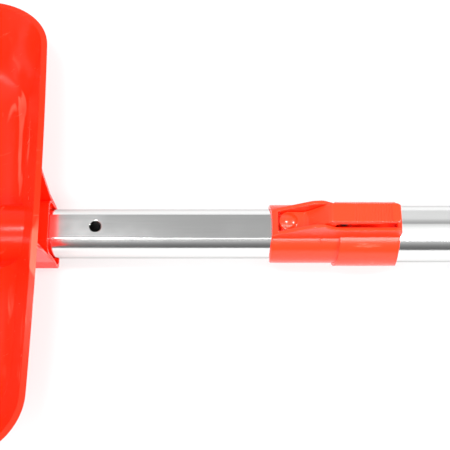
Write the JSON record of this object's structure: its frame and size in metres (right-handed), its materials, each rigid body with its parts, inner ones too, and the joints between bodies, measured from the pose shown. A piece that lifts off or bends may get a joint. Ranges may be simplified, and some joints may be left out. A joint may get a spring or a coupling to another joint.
{
  "type": "telescopic snow shovel",
  "caption": "Compact telescopic snow shovel: deep moulded scoop, two-part aluminium shaft with a push-lever lock and a D-grip.",
  "frame": {"origin": "bottom centre of the whole shovel's box, on the surface that the scoop and the grip lie on", "axes": "+X along the shaft from the scoop to the grip, +Z out of the scoop's open side, +Y across the blade"},
  "size_m": [0.7444, 0.2516, 0.0601],
  "materials": {
    "scoop_plastic": "glossy moulded polypropylene",
    "lock_plastic": "satin moulded plastic",
    "grip_plastic": "satin moulded plastic",
    "tube_aluminium": "satin anodised, drawn along the shaft",
    "inner_plastic": "matt moulded plastic",
    "screw_steel": "zinc plated",
    "spring_steel": "black phosphated wire",
    "grip_rubber": "matt soft rubber"
  },
  "bodies": {
    "blade": {"scoop": "scoop_plastic", "lower_tube": "tube_aluminium", "tube_core": "inner_plastic", "scoop_screws": "screw_steel", "guide_bushing": "inner_plastic"},
    "handle": {"upper_tube": "tube_aluminium", "latch_collar": "lock_plastic", "collar_pins": "screw_steel", "pivot_pin": "screw_steel", "latch_spring": "spring_steel", "grip_frame": "grip_plastic", "grip_sleeve": "grip_rubber", "grip_screws": "screw_steel"},
    "lever": {"latch_lever": "lock_plastic", "locking_peg": "screw_steel"}
  },
  "joints": [
    {"name": "shaft_slide", "type": "slide", "parent": "blade", "child": "handle", "axis": [1, 0, 0], "range_m": [-0.101, 0.101]},
    {"name": "lever_press", "type": "hinge", "parent": "handle", "child": "lever", "pos_m": [0.03419, 0, 0.0381], "axis": [0, 1, 0], "range_deg": [0, 8], "stiffness_Nm_per_rad": 1.2, "springref_deg": -11.46, "deforming": ["latch_spring"]}
  ]
}
